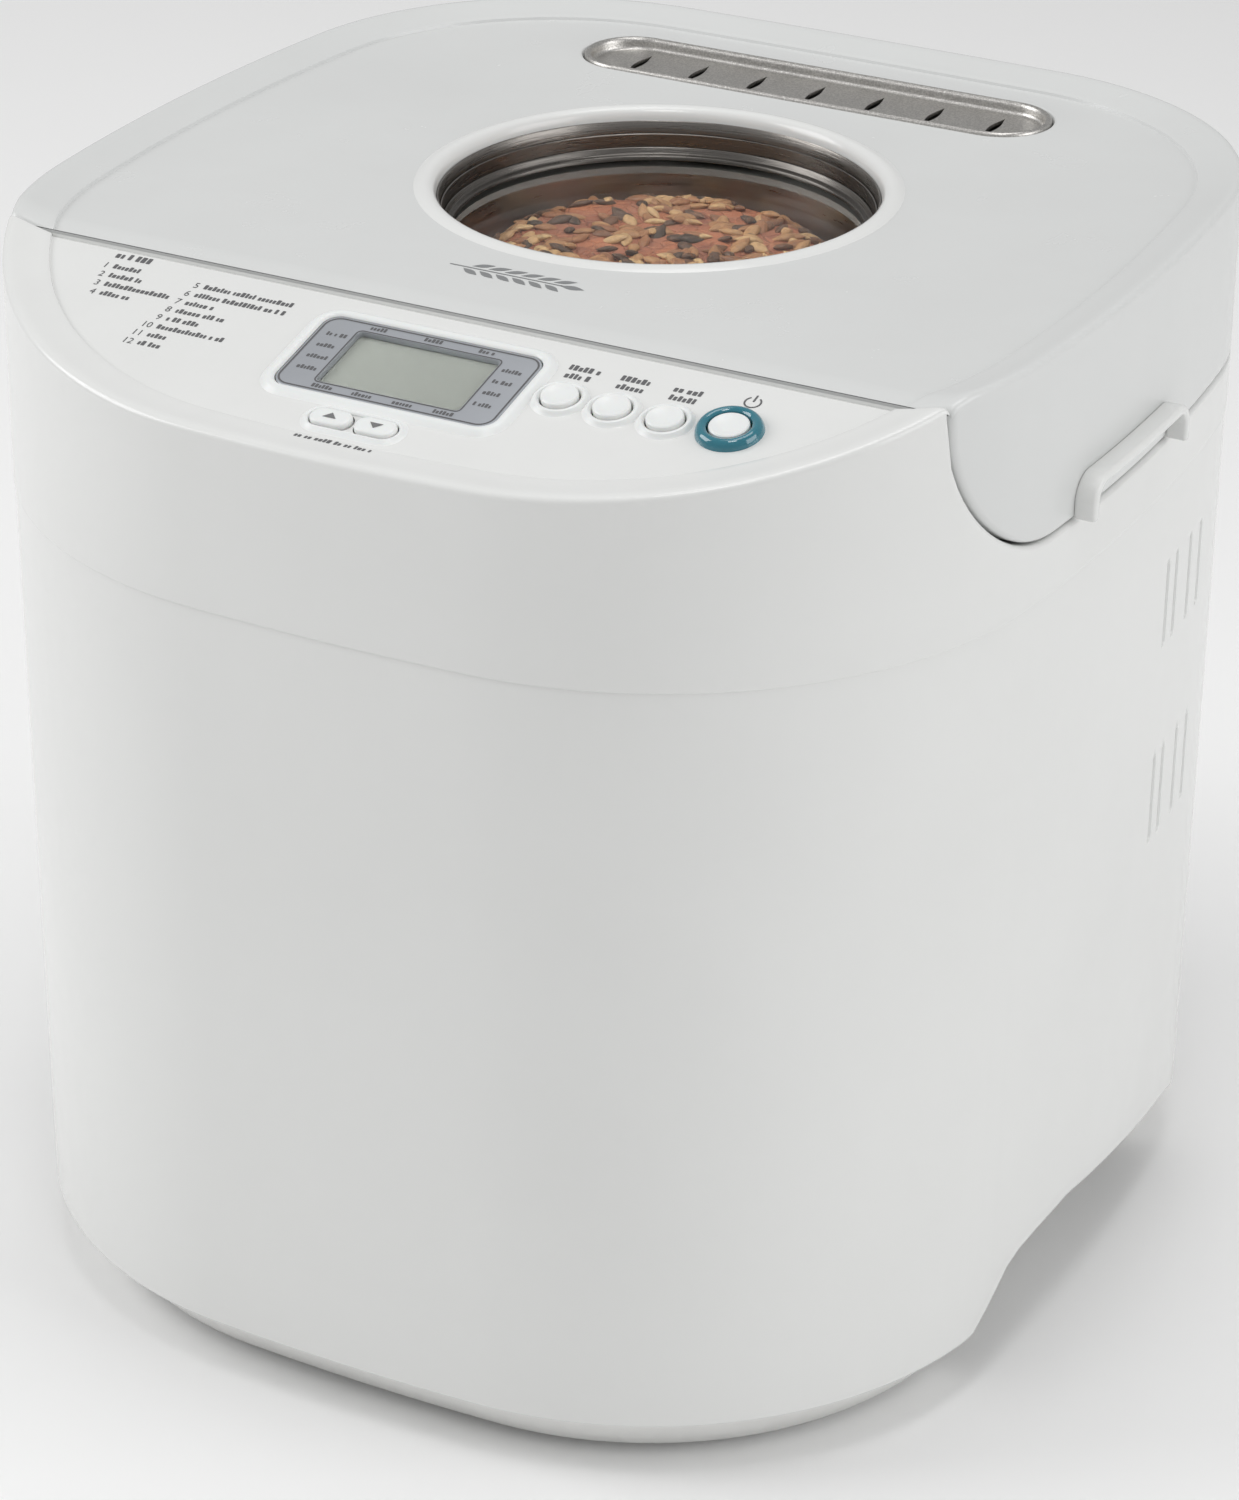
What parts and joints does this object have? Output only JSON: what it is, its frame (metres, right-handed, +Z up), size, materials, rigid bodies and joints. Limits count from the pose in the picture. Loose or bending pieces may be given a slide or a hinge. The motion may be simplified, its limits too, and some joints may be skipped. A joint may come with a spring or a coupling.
{
  "type": "bread machine",
  "caption": "Counter-top bread maker: rounded white body, hinged lid with round window and steam grille, sloping control deck, baking pan with kneading paddle.",
  "frame": {"origin": "on the table, under the centre of the machine's bounding box", "axes": "+X to the right seen from the control deck, +Y to the hinge side at the back, +Z up"},
  "size_m": [0.333, 0.3458, 0.325],
  "materials": {
    "white_shell": "gloss",
    "grey_white_lid": "satin",
    "silver_panel": "satin",
    "clear_window": "clear",
    "lcd_grey": "satin",
    "teal_clear": "clear",
    "button_white": "gloss",
    "stainless": "brushed",
    "steel_sheet": "satin",
    "steel_bright": "polished",
    "pan_coating": "non-stick",
    "heater_steel": "heat dulled",
    "black_rubber": "matte",
    "grey_rubber": "matte",
    "board_green": "satin",
    "black_plastic": "matte",
    "bronze": "turned",
    "cast_alloy": "cast",
    "motor_grey": "satin",
    "base_white": "satin"
  },
  "bodies": {
    "housing": {"lower_housing": "white_shell", "base_plate": "base_white", "rubber_feet": "black_rubber", "base_screws": "steel_bright", "upper_housing": "white_shell", "display_frame": "button_white", "display_bezel": "silver_panel", "display_window": "clear_window", "lcd_module": "lcd_grey", "button_rings": "button_white", "on_off_ring": "teal_clear", "delay_bezel": "button_white", "control_board": "board_green", "tact_switches": "black_plastic", "hinge_brackets": "white_shell", "hinge_pins": "steel_bright", "baking_chamber": "steel_sheet", "heating_element": "heater_steel", "heater_brackets": "steel_sheet", "temperature_sensor": "steel_bright", "pan_seat": "cast_alloy", "chamber_brackets": "steel_sheet", "chassis": "steel_sheet", "chassis_posts": "steel_sheet", "chassis_screws": "steel_bright", "bearing_housing": "cast_alloy", "bushes": "bronze", "drive_belt": "black_rubber", "motor_body": "motor_grey", "power_board": "board_green", "cord_grommet": "black_rubber"},
    "lid": {"lid_outer": "grey_white_lid", "hinge_leaves": "white_shell", "lid_liner": "steel_sheet", "window_gasket": "grey_rubber", "lid_window": "clear_window", "window_ring": "steel_bright", "steam_grille": "stainless", "steam_baffle": "steel_sheet", "lid_grip_right": "white_shell", "lid_grip_left": "white_shell"},
    "loaf_size": {"loaf_size_button": "button_white"},
    "crust_color": {"crust_color_button": "button_white"},
    "menu_select": {"menu_select_button": "button_white"},
    "on_off": {"on_off_button": "button_white"},
    "delay_up": {"delay_up_button": "button_white"},
    "delay_down": {"delay_down_button": "button_white"},
    "drive": {"drive_shaft": "steel_bright", "drive_pulley": "black_plastic", "drive_coupling": "cast_alloy"},
    "motor_rotor": {"motor_shaft": "steel_bright", "motor_pulley": "cast_alloy"},
    "pan": {"bread_pan": "pan_coating", "pan_ears": "steel_sheet", "pan_base": "cast_alloy", "pan_bearing": "cast_alloy"},
    "bail": {"pan_bail": "steel_bright"},
    "paddle": {"pan_shaft": "steel_bright", "pan_coupler": "cast_alloy", "kneading_paddle": "pan_coating"}
  },
  "joints": [
    {"name": "lid_hinge", "type": "hinge", "parent": "housing", "child": "lid", "pos_m": [0, 0.1687, 0.2702], "axis": [-1, 0, 0], "range_deg": [0, 85]},
    {"name": "loaf_size_press", "type": "slide", "parent": "housing", "child": "loaf_size", "axis": [0, 0.2419, -0.9703], "range_m": [0, 0.001], "stiffness_N_per_m": 400, "springref_m": -0.0005},
    {"name": "crust_color_press", "type": "slide", "parent": "housing", "child": "crust_color", "axis": [0, 0.2419, -0.9703], "range_m": [0, 0.001], "stiffness_N_per_m": 400, "springref_m": -0.0005},
    {"name": "menu_select_press", "type": "slide", "parent": "housing", "child": "menu_select", "axis": [0, 0.2419, -0.9703], "range_m": [0, 0.001], "stiffness_N_per_m": 400, "springref_m": -0.0005},
    {"name": "on_off_press", "type": "slide", "parent": "housing", "child": "on_off", "axis": [0, 0.2419, -0.9703], "range_m": [0, 0.001], "stiffness_N_per_m": 400, "springref_m": -0.0005},
    {"name": "delay_up_press", "type": "slide", "parent": "housing", "child": "delay_up", "axis": [0, 0.2419, -0.9703], "range_m": [0, 0.001], "stiffness_N_per_m": 400, "springref_m": -0.0005},
    {"name": "delay_down_press", "type": "slide", "parent": "housing", "child": "delay_down", "axis": [0, 0.2419, -0.9703], "range_m": [0, 0.001], "stiffness_N_per_m": 400, "springref_m": -0.0005},
    {"name": "drive_spin", "type": "hinge", "parent": "housing", "child": "drive", "pos_m": [0, 0.0195, 0.05], "axis": [0, 0, 1], "continuous": true},
    {"name": "motor_spin", "type": "hinge", "parent": "housing", "child": "motor_rotor", "pos_m": [0.062, -0.116, 0.05], "axis": [0, 0, 1], "continuous": true},
    {"name": "pan_twist", "type": "hinge", "parent": "housing", "child": "pan", "pos_m": [0, 0.0195, 0.11], "axis": [0, 0, 1], "range_deg": [0, 12]},
    {"name": "paddle_spin", "type": "hinge", "parent": "pan", "child": "paddle", "pos_m": [0, 0.0195, 0.12], "axis": [0, 0, 1], "continuous": true},
    {"name": "bail_swing", "type": "hinge", "parent": "pan", "child": "bail", "pos_m": [0, 0.0195, 0.238], "axis": [1, 0, 0], "range_deg": [0, 15]}
  ],
  "couplings": [
    {"joint": "motor_spin", "follows": "drive_spin", "ratio": 5.878},
    {"joint": "paddle_spin", "follows": "drive_spin", "ratio": 1}
  ]
}
